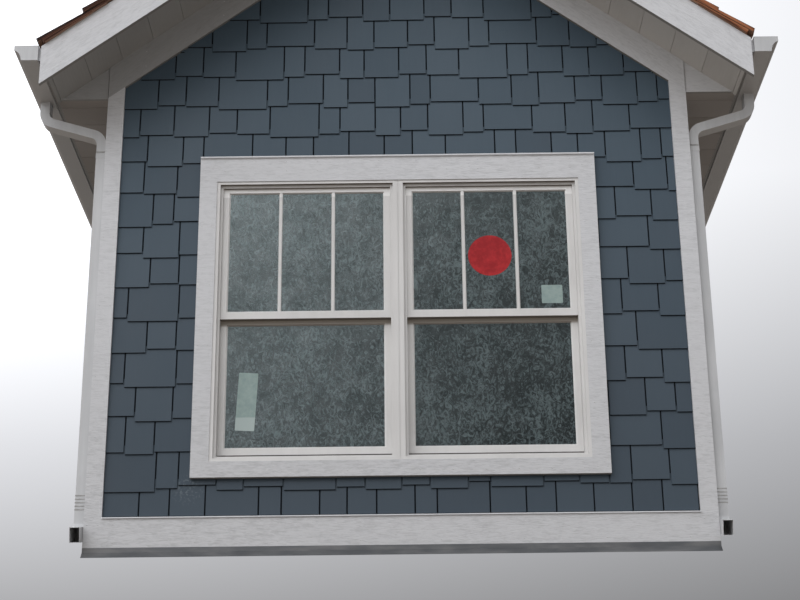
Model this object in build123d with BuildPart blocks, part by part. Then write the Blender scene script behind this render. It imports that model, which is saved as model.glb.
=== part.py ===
from build123d import *
import os
from math import atan2, cos, degrees, hypot, radians, sin, tan

os.makedirs("parts", exist_ok=True)

# Walls
wall_half = 1553.0
wall_t = 114.0
trim_t = 25.0

# Dormer roof: rise over run, deck, rafters
roof_rise = 9.0
roof_run = 12.0
peak_z = 3967.0
deck_t = 12.0
rafter_w = 38.0
rafter_d = 140.0
rafter_spacing = 406.0
seat_run = 89.0
ridge_w = 38.0
ridge_d = 184.0

# Main roof that the dormer stands on
main_pitch = 45.0
sleeper_w = 184.0
sleeper_t = 38.0

# Eaves
fascia_in = 1855.0
fascia_t = 19.0
eave_drop = 73.5
fascia_gap = 2.5
soffit_t = 12.0
roof_clearance = 30.0

# Rake
rake_overhang = 475.0
barge_t = 25.0
barge_w = 178.0
barge_past = 3.0
rake_depth = 93.0
soffit_board = 205.0
first_joint = 41.0
groove_w = 6.0
groove_d = 3.0

# Trim on the front face
corner_w = 89.0
corner_foot = 12.0
frieze_w = 150.0
base_h = 148.0
base_drip_h = 12.0
base_drip_out = 8.0
base_drip_nose = 5.0
return_t = 19.0
return_gap = 3.0

# Siding panels in courses
exposure = 177.8
first_butt = 124.2
butt_t = 14.0
panel_top_t = 6.0
siding_foot = 50.0

# Shakes on the dormer roof
shake_exposure = 254.0
shake_butt_t = 44.0
shake_taper = 0.075
shake_overhang = 25.0
ridge_cap_w = 150.0
ridge_cap_t = 16.0

# Flashing sheet
sheet_t = 1.5
apron_leg = 30.0
step_leg = 100.0

# Window opening, casing and frame
open_half = 965.0
sill_z = 433.0
head_z = 1983.0
casing_t = 38.0
casing_side = 92.0
casing_head = 138.0
casing_sill = 83.0
drip_cap_t = 7.0
drip_cap_out = 10.0
frame_lap = 10.0
frame_face = 33.0
frame_depth = 128.0
jamb_w = 32.0
head_w = 29.0
sill_w = 31.0
mull_half = 41.0
rebate_w = 14.0
rebate_d = 20.0
mull_groove = 2.0
mull_groove_d = 4.0

# Sashes and glass
sash_fit = 0.5
sash_t = 33.0
sash_gap = 2.0
upper_sash_in = 35.0
stile_w = 31.5
top_rail = 22.0
bottom_rail = 55.0
upper_meet_z = 1211.0
meet_step = 12.0
upper_meet_rail = 37.5
lower_meet_rail = 32.0
glass_t = 18.0

# Gutters
gutter_top = 127.0
gutter_bottom = 87.0
gutter_h = 87.0
gutter_t = 2.0
gutter_lip = 14.0
heel_out = 4.0
heel_h = 20.0
ogee_h = 60.0
gutter_drop = 6.0
gutter_set_back = 5.0
gutter_stop = 94.0

# Downspouts
pipe_w = 51.0
pipe_d = 76.0
pipe_t = 2.0
pipe_y = 35.0
outlet_out = 51.0
outlet_drop = 115.0
elbow_r = 65.0
leg_fall = 17.0
pipe_foot_z = 205.0
shoe_z = 85.0
shoe_turn = 75.0
shoe_leg = 138.0
shoe_r = 60.0
strap_drop = 350.0
strap_h = 30.0
strap_t = 1.5
strap_ear = 20.0

# Places that follow from the sizes above
slope = roof_rise / roof_run
pitch = degrees(atan2(roof_rise, roof_run))
upright = 1 / cos(radians(pitch))
front = -wall_t / 2
climb = tan(radians(main_pitch))
main_upright = 1 / cos(radians(main_pitch))
foot = front * climb
trim_out = wall_half + trim_t
trim_in = trim_out - corner_w
wall_in = wall_half - wall_t
deck_under = peak_z - deck_t * upright
rafter_under = deck_under - rafter_d * upright
plate_z = rafter_under - slope * (wall_half - seat_run)
rake_soffit_z = peak_z - rake_depth
soffit_top = rake_soffit_z + soffit_t * upright
frieze_foot = rake_soffit_z - frieze_w * upright
fascia_out = fascia_in + fascia_t
barge_end = fascia_in + barge_past
fascia_z = peak_z - slope * barge_end - eave_drop
base_top = base_h + base_drip_h
run_back = peak_z / climb + wall_t + roof_clearance
ladder_end = rake_overhang - barge_t
rake_length = fascia_in * upright
shake_end = barge_end * upright
casing_out = open_half + casing_side
casing_foot = sill_z - casing_sill
casing_top = head_z + casing_head
lower_meet_z = upper_meet_z + meet_step
gutter_z = fascia_z - gutter_drop
gutter_front = rake_overhang - gutter_set_back
gutter_back = gutter_z / climb - gutter_stop
outlet_x = fascia_out + outlet_out
leg_top_z = gutter_z - outlet_drop
strap_z = fascia_z - strap_drop
pipe_x = trim_out + pipe_w / 2 + strap_t

# Planes of the work: the front face, the cheek side, the main roof and the gutter outlet
face = Plane(origin=(0, front, foot), x_dir=(1, 0, 0), z_dir=(0, -1, 0))
side = Plane(origin=(0, front, foot), x_dir=(0, 1, 0), z_dir=(1, 0, 0))
main_roof = Plane((0, 0, 0), x_dir=(1, 0, 0), z_dir=(0, -sin(radians(main_pitch)), cos(radians(main_pitch))))
outlet = Plane((outlet_x, front + pipe_y, foot + gutter_z))


def under(top, x):
    """Height of a roof plane at x, from its height at the ridge."""
    return top - slope * x


def band(top, foot, near, far):
    """Corners of a strip between two roof planes, from x near to x far."""
    return [(near, under(foot, near)), (far, under(foot, far)), (far, under(top, far)), (near, under(top, near))]


def rake_plane(at, z):
    """Plane along the right slope: x runs down it from the middle, y stands square off it."""
    down = (cos(radians(pitch)), 0, -sin(radians(pitch)))
    return Plane(at.from_local_coords((0, z, 0)), x_dir=down, z_dir=(0, -1, 0))


# Front wall, a gable with the window opening cut through
with BuildPart() as front_wall:
    with BuildSketch(face):
        eave_z = under(deck_under, wall_half)
        Polygon((-wall_half, 0), (wall_half, 0), (wall_half, eave_z), (0, deck_under), (-wall_half, eave_z), align=None)
        with Locations((0, (sill_z + head_z) / 2)):
            Rectangle(2 * (open_half + frame_lap), head_z - sill_z + 2 * frame_lap, mode=Mode.SUBTRACT)
    extrude(amount=-wall_t)
    split(bisect_by=main_roof, keep=Keep.TOP)

# Right cheek wall, cut along the main roof
with BuildPart() as cheek_wall_right:
    with BuildSketch(face.offset(-wall_t)):
        with Locations(((wall_half + wall_in) / 2, plate_z / 2)):
            Rectangle(wall_t, plate_z)
    extrude(amount=-run_back)
    split(bisect_by=main_roof, keep=Keep.TOP)

# Right valley sleeper, laid flat on the main roof under the jack rafters
with BuildPart() as valley_sleeper_right:
    with BuildSketch(main_roof):
        reach = 1 / sin(radians(main_pitch))
        high = (deck_under + foot - sleeper_t / main_upright) * reach
        low = high - sleeper_w * hypot(1, slope * reach)
        fall = slope * reach * wall_in
        Polygon((0, high), (wall_in, high - fall), (wall_in, low - fall), (0, low), align=None)
    extrude(amount=sleeper_t)

# Ridge board, cut at the back where it lands on the sleepers
with BuildPart() as ridge_board:
    with BuildSketch(face.offset(-wall_t)):
        with Locations((0, under(deck_under, ridge_w / 2) - ridge_d / 2)):
            Rectangle(ridge_w, ridge_d)
    extrude(amount=-run_back)
    split(bisect_by=main_roof.offset(sleeper_t), keep=Keep.TOP)

# Right rafters with plumb heads, a level seat on the cheek wall and level tails
with BuildPart() as rafters_right:
    with BuildSketch(face.offset(-wall_t)):
        Polygon(*band(deck_under, rafter_under, ridge_w / 2, fascia_in), align=None)
        with Locations((wall_half, fascia_z + soffit_t)):
            Rectangle(rafter_spacing, rafter_d, align=(Align.MIN, Align.MAX), mode=Mode.SUBTRACT)
        with Locations((wall_half, plate_z)):
            Rectangle(seat_run, rafter_d, align=(Align.MAX, Align.MAX), mode=Mode.SUBTRACT)
    extrude(amount=-rafter_w)
    one_rafter = rafters_right.part
    with Locations([(0, n * rafter_spacing, 0) for n in range(1, int(run_back / rafter_spacing))]):
        add(one_rafter)
    split(bisect_by=main_roof, keep=Keep.TOP)
    with BuildSketch(main_roof):
        with Locations((wall_in / 2, run_back)):
            Rectangle(wall_in, 2 * run_back)
    extrude(amount=sleeper_t, mode=Mode.SUBTRACT)

# Right rake ladder: fly rafter and lookouts that carry the overhang
with BuildPart() as rake_ladder_right:
    with BuildSketch(face.offset(ladder_end)):
        Polygon(*band(deck_under, soffit_top, 0, fascia_in), align=None)
    extrude(amount=-rafter_w)
    with BuildSketch(rake_plane(face, (deck_under + soffit_top) / 2)):
        rungs = int(rake_length / rafter_spacing)
        with Locations([((n + 0.5) * rake_length / rungs, 0) for n in range(rungs)]):
            Rectangle(rafter_w, (deck_under - soffit_top) / upright)
    extrude(amount=ladder_end - rafter_w)

# Right roof deck, cut to the valley
with BuildPart() as roof_deck_right:
    with BuildSketch(face.offset(ladder_end)):
        Polygon(*band(peak_z, deck_under, 0, fascia_in), align=None)
    extrude(amount=-run_back - ladder_end)
    split(bisect_by=main_roof, keep=Keep.TOP)

# Right roof shakes in lapped courses, each thick at its butt
with BuildPart() as roof_shakes_right:
    with BuildSketch(rake_plane(face.offset(rake_overhang + shake_overhang), peak_z)):
        courses = int(shake_end / shake_exposure)
        for n in range(courses):
            butt = shake_end - n * shake_exposure
            top = butt - shake_exposure if n < courses - 1 else -shake_exposure
            thin = shake_butt_t - shake_taper * (butt - top)
            Polygon((butt, 0), (butt, shake_butt_t), (top, thin), (top, 0), align=None)
    extrude(amount=-run_back - rake_overhang)
    split(bisect_by=Plane.YZ, keep=Keep.TOP)
    split(bisect_by=main_roof, keep=Keep.TOP)

# Ridge cap over the top courses of both slopes
with BuildPart() as ridge_cap:
    with BuildSketch(rake_plane(face.offset(rake_overhang + shake_overhang), peak_z)):
        last_butt = shake_end - (courses - 1) * shake_exposure
        low_t = shake_butt_t - shake_taper * (last_butt - ridge_cap_w)
        high_t = shake_butt_t - shake_taper * (last_butt + ridge_cap_w)
        Polygon(
            (ridge_cap_w, low_t),
            (ridge_cap_w, low_t + ridge_cap_t),
            (-ridge_cap_w, high_t + ridge_cap_t),
            (-ridge_cap_w, high_t),
            align=None,
        )
    extrude(amount=-run_back - rake_overhang)
    split(bisect_by=Plane.YZ, keep=Keep.TOP)
    split(bisect_by=main_roof, keep=Keep.TOP)
    mirror(about=Plane.YZ)

# Right fascia along the rafter tails
with BuildPart() as fascia_right:
    with BuildSketch(face.offset(ladder_end)):
        with Locations((fascia_in, fascia_z)):
            Rectangle(fascia_t, under(peak_z, barge_end) - fascia_gap - fascia_z, align=(Align.MIN, Align.MIN))
    extrude(amount=-run_back - ladder_end)
    split(bisect_by=main_roof.offset(roof_clearance), keep=Keep.TOP)

# Right eave soffit, level from the wall to the fascia
with BuildPart() as eave_soffit_right:
    with BuildSketch(face):
        with Locations((wall_half, fascia_z)):
            Rectangle(fascia_in - wall_half, soffit_t, align=(Align.MIN, Align.MIN))
    extrude(amount=-run_back)
    split(bisect_by=main_roof.offset(roof_clearance), keep=Keep.TOP)

# Right eave return, the triangle that closes the boxed eave beside the corner board
with BuildPart() as eave_return_right:
    with BuildSketch(face):
        near = trim_out + return_gap
        tip = (rake_soffit_z - fascia_z) / slope
        Polygon((near, fascia_z), (tip, fascia_z), (near, under(rake_soffit_z, near)), align=None)
    extrude(amount=return_t)

# Right rake soffit of boards with grooved joints
with BuildPart() as rake_soffit_right:
    with BuildSketch(face):
        Polygon(*band(soffit_top, rake_soffit_z, 0, fascia_in), align=None)
    extrude(amount=ladder_end)
    with BuildSketch(rake_plane(face, rake_soffit_z)):
        joints = int((rake_length - first_joint) / soffit_board) + 1
        with Locations([(first_joint + n * soffit_board, 0) for n in range(joints)]):
            Polygon((-groove_w / 2, 0), (groove_w / 2, 0), (0, groove_d), align=None)
    extrude(amount=ladder_end, mode=Mode.SUBTRACT)

# Right bargeboard with a plumb foot
with BuildPart() as bargeboard_right:
    with BuildSketch(face.offset(ladder_end)):
        Polygon(*band(peak_z, peak_z - barge_w * upright, 0, barge_end), align=None)
    extrude(amount=barge_t)

# Right frieze board under the rake soffit
with BuildPart() as frieze_right:
    with BuildSketch(face):
        Polygon(*band(rake_soffit_z, frieze_foot, 0, trim_out), align=None)
    extrude(amount=trim_t)

# Right corner: the front board laps the side board
with BuildPart() as corner_board_right:
    with BuildSketch(face):
        Polygon(*band(frieze_foot, frieze_foot, trim_in, trim_out)[:2], (trim_out, 0), (trim_in, 0), align=None)
    extrude(amount=trim_t)
    with BuildSketch(face):
        with Locations((wall_half, 0)):
            Rectangle(trim_t, fascia_z, align=(Align.MIN, Align.MIN))
    extrude(amount=-corner_w)
    split(bisect_by=main_roof.offset(corner_foot), keep=Keep.TOP)

# Base board between the corner boards, and the drip strip on it
with BuildPart() as base_board:
    with BuildSketch(face):
        with Locations((0, base_h / 2)):
            Rectangle(2 * trim_in, base_h)
    extrude(amount=trim_t)

with BuildPart() as base_drip:
    with BuildSketch(side):
        nose = -trim_t - base_drip_out
        Polygon((0, base_h), (nose, base_h), (nose, base_h + base_drip_nose), (0, base_top), align=None)
    extrude(amount=trim_in, both=True)

# Front siding in lapped panel courses, fitted to the trim and round the casing
with BuildPart() as siding_front:
    with BuildSketch(side):
        for n in range(int(frieze_foot / exposure) + 1):
            butt = first_butt + n * exposure
            Polygon((0, butt), (-butt_t, butt), (-panel_top_t, butt + exposure), (0, butt + exposure), align=None)
    extrude(amount=trim_in, both=True)
    with BuildSketch(face):
        corner_z = under(frieze_foot, trim_in)
        Polygon(
            (-trim_in, base_top),
            (trim_in, base_top),
            (trim_in, corner_z),
            (0, frieze_foot),
            (-trim_in, corner_z),
            align=None,
        )
        with Locations((0, casing_foot)):
            Rectangle(
                2 * casing_out,
                casing_top + drip_cap_t - casing_foot,
                align=(Align.CENTER, Align.MIN),
                mode=Mode.SUBTRACT,
            )
    extrude(amount=butt_t, mode=Mode.INTERSECT)

# Right cheek siding, stopped above the step flashing
with BuildPart() as siding_cheek_right:
    with BuildSketch(face.offset(-corner_w)):
        for n in range(int(fascia_z / exposure) + 1):
            butt = first_butt + n * exposure
            with Locations((wall_half, butt)):
                Polygon((0, 0), (butt_t, 0), (panel_top_t, exposure), (0, exposure), align=None)
        with Locations((wall_half, fascia_z)):
            Rectangle(trim_t, 2 * exposure, align=(Align.MIN, Align.MIN), mode=Mode.SUBTRACT)
    extrude(amount=-run_back)
    split(bisect_by=main_roof.offset(siding_foot), keep=Keep.TOP)

# Window casing of four boards and the metal drip cap on its head
with BuildPart() as window_casing:
    with BuildSketch(face):
        with Locations((0, (casing_foot + casing_top) / 2)):
            Rectangle(2 * casing_out, casing_top - casing_foot)
        with Locations((0, (sill_z + head_z) / 2)):
            Rectangle(2 * open_half, head_z - sill_z, mode=Mode.SUBTRACT)
    extrude(amount=casing_t)

with BuildPart() as casing_drip_cap:
    with BuildSketch(side):
        with Locations((0, casing_top)):
            Rectangle(casing_t + drip_cap_out, drip_cap_t, align=(Align.MAX, Align.MIN))
    extrude(amount=casing_out, both=True)

# Twin window frame with a mullion, stepped back to the sashes
with BuildPart() as window_frame:
    mid_z = (sill_z + head_z) / 2
    open_h = head_z - sill_z
    light_w = open_half - jamb_w - mull_half
    light_x = mull_half + light_w / 2
    light_h = open_h - head_w - sill_w
    light_z = sill_z + sill_w + light_h / 2
    with BuildSketch(face):
        with Locations((0, mid_z)):
            Rectangle(2 * (open_half + frame_lap), open_h + 2 * frame_lap)
    extrude(amount=frame_face - frame_depth)
    with BuildSketch(face):
        with Locations((0, mid_z)):
            Rectangle(2 * open_half, open_h)
    extrude(amount=frame_face)
    with BuildSketch(face.offset(frame_face)):
        with Locations((-light_x, light_z), (light_x, light_z)):
            Rectangle(light_w, light_h)
    extrude(amount=-frame_depth, mode=Mode.SUBTRACT)
    with BuildSketch(face.offset(frame_face)):
        with Locations((-light_x, light_z), (light_x, light_z)):
            Rectangle(light_w + 2 * rebate_w, light_h + 2 * rebate_w)
    extrude(amount=-rebate_d, mode=Mode.SUBTRACT)
    with BuildSketch(face.offset(frame_face)):
        with Locations((0, mid_z)):
            Rectangle(mull_groove, open_h)
    extrude(amount=-mull_groove_d, mode=Mode.SUBTRACT)

# Right upper sash, in front of the lower one
sash_w = light_w - 2 * sash_fit
upper_h = head_z - head_w - sash_fit - upper_meet_z
lower_z = sill_z + sill_w + sash_fit
lower_h = lower_meet_z - lower_z
upper_face = face.offset(frame_face - upper_sash_in)
lower_face = upper_face.offset(-sash_t - sash_gap)

with BuildPart() as sash_upper_right:
    with BuildSketch(upper_face):
        with Locations((light_x, upper_meet_z)):
            Rectangle(sash_w, upper_h, align=(Align.CENTER, Align.MIN))
        with Locations((light_x, upper_meet_z + upper_meet_rail)):
            Rectangle(
                sash_w - 2 * stile_w,
                upper_h - upper_meet_rail - top_rail,
                align=(Align.CENTER, Align.MIN),
                mode=Mode.SUBTRACT,
            )
    extrude(amount=-sash_t)

with BuildPart() as sash_lower_right:
    with BuildSketch(lower_face):
        with Locations((light_x, lower_z)):
            Rectangle(sash_w, lower_h, align=(Align.CENTER, Align.MIN))
        with Locations((light_x, lower_z + bottom_rail)):
            Rectangle(
                sash_w - 2 * stile_w,
                lower_h - lower_meet_rail - bottom_rail,
                align=(Align.CENTER, Align.MIN),
                mode=Mode.SUBTRACT,
            )
    extrude(amount=-sash_t)

# Insulating glass, centred in each sash
glass_in = (sash_t - glass_t) / 2
with BuildPart() as glass_upper_right:
    with BuildSketch(upper_face.offset(-glass_in)):
        with Locations((light_x, upper_meet_z + upper_meet_rail)):
            Rectangle(sash_w - 2 * stile_w, upper_h - upper_meet_rail - top_rail, align=(Align.CENTER, Align.MIN))
    extrude(amount=-glass_t)

with BuildPart() as glass_lower_right:
    with BuildSketch(lower_face.offset(-glass_in)):
        with Locations((light_x, lower_z + bottom_rail)):
            Rectangle(sash_w - 2 * stile_w, lower_h - lower_meet_rail - bottom_rail, align=(Align.CENTER, Align.MIN))
    extrude(amount=-glass_t)

# Apron flashing: under the base board, down its face and out along the main roof
with BuildPart() as apron_flashing:
    with BuildSketch(side):
        bend = -trim_t - sheet_t
        hem = bend - apron_leg
        lift = sheet_t * main_upright
        Polygon(
            (0, 0),
            (bend, 0),
            (bend, bend * climb + lift),
            (hem, hem * climb + lift),
            (hem, hem * climb),
            (-trim_t, -trim_t * climb),
            (-trim_t, -sheet_t),
            (-sheet_t / climb, -sheet_t),
            align=None,
        )
    extrude(amount=trim_out, both=True)

# Right step flashing: one leg on the main roof, one up the cheek wall to the siding
flash_end = (fascia_z - siding_foot * main_upright) / climb
with BuildPart() as step_flashing_right:
    for leg, height in ((step_leg, sheet_t), (sheet_t, siding_foot)):
        with BuildSketch(side.offset(wall_half)):
            rise = height * main_upright
            Polygon(
                (corner_w, corner_w * climb),
                (flash_end, flash_end * climb),
                (flash_end, flash_end * climb + rise),
                (corner_w, corner_w * climb + rise),
                align=None,
            )
        extrude(amount=leg)

# Right gutter: ogee front, rolled lip and a hole over the downspout
gutter_length = gutter_front + gutter_back
gutter_corner = face.offset(gutter_front).from_local_coords((fascia_out, gutter_z, 0))
gutter_end = Plane(gutter_corner, x_dir=(1, 0, 0), z_dir=(0, -1, 0))

with BuildSketch(gutter_end) as gutter_outline:
    with BuildLine():
        floor = Line((0, 0), (gutter_bottom, 0))
        heel = Line(floor @ 1, (gutter_bottom + heel_out, heel_h))
        ogee = TangentArc(heel @ 1, (gutter_top, ogee_h), tangent=heel % 1)
        lip = Line(ogee @ 1, (gutter_top, gutter_h))
        rim = Line(lip @ 1, (0, gutter_h))
        Line(rim @ 1, (0, 0))
    make_face()

with BuildPart() as gutter_right:
    with BuildSketch(gutter_end.offset(-gutter_t)):
        add(gutter_outline.sketch_local)
        offset(amount=-gutter_t, mode=Mode.SUBTRACT)
        with Locations((gutter_t, gutter_h)):
            Rectangle(
                gutter_top - gutter_t - gutter_lip,
                gutter_t,
                align=(Align.MIN, Align.MAX),
                mode=Mode.SUBTRACT,
            )
    extrude(amount=2 * gutter_t - gutter_length)
    with BuildSketch(outlet):
        Rectangle(pipe_w - 2 * pipe_t, pipe_d - 2 * pipe_t)
    extrude(amount=gutter_t, mode=Mode.SUBTRACT)

# Right gutter's two end caps
with BuildPart() as gutter_caps_right:
    with BuildSketch(gutter_end, gutter_end.offset(gutter_t - gutter_length)):
        add(gutter_outline.sketch_local)
    extrude(amount=-gutter_t)

# Right downspout: two elbows under the gutter, the pipe down the corner, a shoe turned forward
with BuildPart() as downspout_right:
    with BuildLine(face.offset(-pipe_y)) as drop:
        FilletPolyline(
            (outlet_x, gutter_z),
            (outlet_x, leg_top_z),
            (pipe_x, leg_top_z - tan(radians(leg_fall)) * (outlet_x - pipe_x)),
            (pipe_x, pipe_foot_z),
            radius=elbow_r,
        )
    with BuildSketch(outlet):
        Rectangle(pipe_w, pipe_d)
        Rectangle(pipe_w - 2 * pipe_t, pipe_d - 2 * pipe_t, mode=Mode.SUBTRACT)
    sweep(path=drop.line)
    with BuildLine(side.offset(pipe_x)) as shoe:
        FilletPolyline(
            (pipe_y, pipe_foot_z),
            (pipe_y, shoe_z),
            (pipe_y - shoe_leg * sin(radians(shoe_turn)), shoe_z - shoe_leg * cos(radians(shoe_turn))),
            radius=shoe_r,
        )
    with BuildSketch(Plane(side.offset(pipe_x).from_local_coords((pipe_y, pipe_foot_z, 0)))):
        Rectangle(pipe_w, pipe_d)
        Rectangle(pipe_w - 2 * pipe_t, pipe_d - 2 * pipe_t, mode=Mode.SUBTRACT)
    sweep(path=shoe.line)

# Strap that holds the right downspout to the corner board
with BuildPart() as downspout_strap_right:
    with BuildSketch(Plane(side.offset(pipe_x).from_local_coords((pipe_y, strap_z, 0)))):
        Rectangle(pipe_w + 2 * strap_t, pipe_d + 2 * strap_t)
        Rectangle(pipe_w, pipe_d, mode=Mode.SUBTRACT)
        with Locations((-pipe_w / 2 - strap_t, -pipe_d / 2)):
            Rectangle(strap_t, strap_ear, align=(Align.MIN, Align.MAX))
    extrude(amount=strap_h)

# The left side repeats the right one across the middle of the dormer
single = {
    "front_wall": front_wall,
    "ridge_board": ridge_board,
    "ridge_cap": ridge_cap,
    "base_board": base_board,
    "base_drip": base_drip,
    "siding_front": siding_front,
    "window_casing": window_casing,
    "casing_drip_cap": casing_drip_cap,
    "window_frame": window_frame,
    "apron_flashing": apron_flashing,
}
paired = {
    "cheek_wall": cheek_wall_right,
    "valley_sleeper": valley_sleeper_right,
    "rafters": rafters_right,
    "rake_ladder": rake_ladder_right,
    "roof_deck": roof_deck_right,
    "roof_shakes": roof_shakes_right,
    "fascia": fascia_right,
    "eave_soffit": eave_soffit_right,
    "eave_return": eave_return_right,
    "rake_soffit": rake_soffit_right,
    "bargeboard": bargeboard_right,
    "frieze": frieze_right,
    "corner_board": corner_board_right,
    "siding_cheek": siding_cheek_right,
    "sash_upper": sash_upper_right,
    "sash_lower": sash_lower_right,
    "glass_upper": glass_upper_right,
    "glass_lower": glass_lower_right,
    "step_flashing": step_flashing_right,
    "gutter": gutter_right,
    "gutter_caps": gutter_caps_right,
    "downspout": downspout_right,
    "downspout_strap": downspout_strap_right,
}

for label, piece in single.items():
    piece.part.label = label
    export_step(piece.part, f"parts/{label}.step")

for label, piece in paired.items():
    piece.part.label = f"{label}_right"
    export_step(piece.part, f"parts/{label}_right.step")
    with BuildPart() as twin:
        mirror(piece.part, about=Plane.YZ)
    twin.part.label = f"{label}_left"
    export_step(twin.part, f"parts/{label}_left.step")
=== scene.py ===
import random
from math import atan2, cos, radians, sin, tan

import bmesh
import bpy
from mathutils import Matrix, Vector


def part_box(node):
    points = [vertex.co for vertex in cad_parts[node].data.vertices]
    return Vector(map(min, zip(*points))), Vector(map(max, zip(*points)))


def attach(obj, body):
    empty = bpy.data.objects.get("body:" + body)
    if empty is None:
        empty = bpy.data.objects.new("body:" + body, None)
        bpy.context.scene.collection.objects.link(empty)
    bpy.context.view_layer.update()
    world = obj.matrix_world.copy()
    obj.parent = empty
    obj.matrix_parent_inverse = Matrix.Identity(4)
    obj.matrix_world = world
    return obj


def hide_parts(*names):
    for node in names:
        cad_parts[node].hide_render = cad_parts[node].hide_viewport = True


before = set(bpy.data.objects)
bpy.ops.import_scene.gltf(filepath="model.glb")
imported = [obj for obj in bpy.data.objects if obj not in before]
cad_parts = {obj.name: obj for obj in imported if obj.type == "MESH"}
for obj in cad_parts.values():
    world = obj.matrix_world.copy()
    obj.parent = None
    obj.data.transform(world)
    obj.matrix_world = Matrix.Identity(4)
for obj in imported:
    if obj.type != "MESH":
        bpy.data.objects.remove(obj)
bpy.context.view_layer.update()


# Rafters, ridge board, rake ladders and valley sleepers: sawn softwood, left bare inside the roof.
# The rafters are nailed to the ridge board and the cheek walls, and land on the sleepers at the back.
def opaque(colour):
    """Adds the alpha to a plain colour; a colour that comes from a node stays as it is."""
    return colour if isinstance(colour, Shade) else (*colour, 1)


class Shade:
    """A value or colour in a material; arithmetic on it adds the nodes that work it out."""

    def __init__(self, tree, socket):
        self.tree = tree
        self.socket = socket

    def node(self, kind, settings=None, feeds=None, output=0):
        made = self.tree.nodes.new(kind)
        for name, value in (settings or {}).items():
            if name == "stops":
                elements = made.color_ramp.elements
                elements.remove(elements[1])
                elements[0].position, elements[0].color = value[0]
                for place, colour in value[1:]:
                    elements.new(place).color = colour
            else:
                setattr(made, name, value)
        for name, value in (feeds or {}).items():
            if isinstance(value, Shade):
                self.tree.links.new(value.socket, made.inputs[name])
            else:
                made.inputs[name].default_value = value
        return Shade(self.tree, made.outputs[output])

    def maths(self, operation, first, second=0.0):
        return self.node("ShaderNodeMath", {"operation": operation}, {0: first, 1: second})

    def __add__(self, other):
        return self.maths("ADD", self, other)

    __radd__ = __add__

    def __sub__(self, other):
        return self.maths("SUBTRACT", self, other)

    def __rsub__(self, other):
        return self.maths("SUBTRACT", other, self)

    def __mul__(self, other):
        return self.maths("MULTIPLY", self, other)

    __rmul__ = __mul__

    def __gt__(self, other):
        return self.maths("GREATER_THAN", self, other)

    def __abs__(self):
        return self.maths("ABSOLUTE", self)

    def axis(self, index):
        return self.node("ShaderNodeSeparateXYZ", None, {0: self}, index)

    def distance(self, point):
        return self.node("ShaderNodeVectorMath", {"operation": "DISTANCE"}, {0: self, 1: point}, 1)

    def tone(self):
        """What new_shape's layer holds: a tone of its own for each board, shingle or shake."""
        return self.node("ShaderNodeAttribute", {"attribute_name": "tone"}, None, 2)

    def clouds(self, stretch, detail=2.0, rough=0.5, warp=0.0):
        """Noise from 0 to 1, with stretch lumps to the metre along each axis."""
        laid = self.node("ShaderNodeMapping", None, {"Vector": self, "Scale": stretch})
        feeds = {"Vector": laid, "Scale": 1.0, "Detail": detail, "Roughness": rough, "Distortion": warp}
        return self.node("ShaderNodeTexNoise", None, feeds)

    def step(self, low, high, start=0.0, end=1.0):
        """Runs smoothly from start to end while the value goes from low to high."""
        feeds = {"Value": self, "From Min": low, "From Max": high, "To Min": start, "To Max": end}
        return self.node("ShaderNodeMapRange", {"interpolation_type": "SMOOTHSTEP"}, feeds)

    def blend(self, first, second):
        """The colour first where the value is 0, second where it is 1."""
        return self.node("ShaderNodeMix", {"data_type": "RGBA"}, {0: self, 6: opaque(first), 7: opaque(second)}, 2)

    def ramp(self, *stops):
        """The colour that the value reaches among the stops, each a value and its colour."""
        return self.node("ShaderNodeValToRGB", {"stops": [(at, opaque(colour)) for at, colour in stops]}, {0: self})

    def underside(self):
        """1 on surfaces that look down, 0 on the rest."""
        return self.node("ShaderNodeNewGeometry", None, None, 1).axis(2).step(-0.35, -0.75)

    def relief(self, depth):
        """The value as height, depth metres from 0 to 1."""
        return self.node("ShaderNodeBump", None, {"Height": self, "Distance": depth, "Strength": 1.0})


def finish(name, fixed, varied):
    """A material: fixed goes on the shader's own sockets, varied(place) gives what changes over the surface."""
    made = bpy.data.materials.new(name)
    made.use_nodes = True
    tree = made.node_tree
    shader = tree.nodes["Principled BSDF"]
    for socket, value in fixed.items():
        shader.inputs[socket].default_value = value
    place = Shade(tree, tree.nodes.new("ShaderNodeTexCoord").outputs["Object"])
    for socket, value in varied(place).items():
        tree.links.new(value.socket, shader.inputs[socket])
    return made


def dress(paint, *nodes):
    """Gives CAD nodes a material."""
    for node in nodes:
        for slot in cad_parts[node].material_slots:
            slot.material = paint


def both(*names):
    return [f"{name}_{side}" for name in names for side in ("left", "right")]


SLOPE = atan2(9, 12)  # the roof rises 9 in for every 12


def down_slope(place):
    """Coordinates that run down the roof, along the ridge and square off the deck, the same on both slopes."""
    out, height = abs(place.axis(0)), place.axis(2)
    down = out * cos(SLOPE) - height * sin(SLOPE)
    off = out * sin(SLOPE) + height * cos(SLOPE)
    return place.node("ShaderNodeCombineXYZ", None, {0: down, 1: place.axis(1), 2: off})


def sawn_timber(name, laid, along):
    """Sawn softwood in coordinates laid out by laid, its grain along one of their axes."""
    grain = {0: (1.5, 55, 55), 1: (55, 1.5, 55)}[along]
    saw = {0: (260, 9, 9), 1: (9, 260, 9)}[along]

    def varied(place):
        run = laid(place)
        streaks = run.clouds(grain, 5.0, 0.6)
        marks = run.clouds(saw, 1.0)
        patches = run.clouds((1.1, 1.1, 1.1), 2.0)
        colour = (streaks * 0.75 + patches * 0.35 - 0.05).ramp(
            (0.25, (0.36, 0.21, 0.11)), (0.45, (0.55, 0.36, 0.20)), (0.7, (0.70, 0.50, 0.31))
        )
        relief = (streaks + marks * 0.4).relief(0.0008)
        return {"Base Color": colour, "Roughness": streaks.step(0.3, 0.7, 0.8, 0.62), "Normal": relief}

    return finish(name, {"Specular IOR Level": 0.25}, varied)


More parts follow.
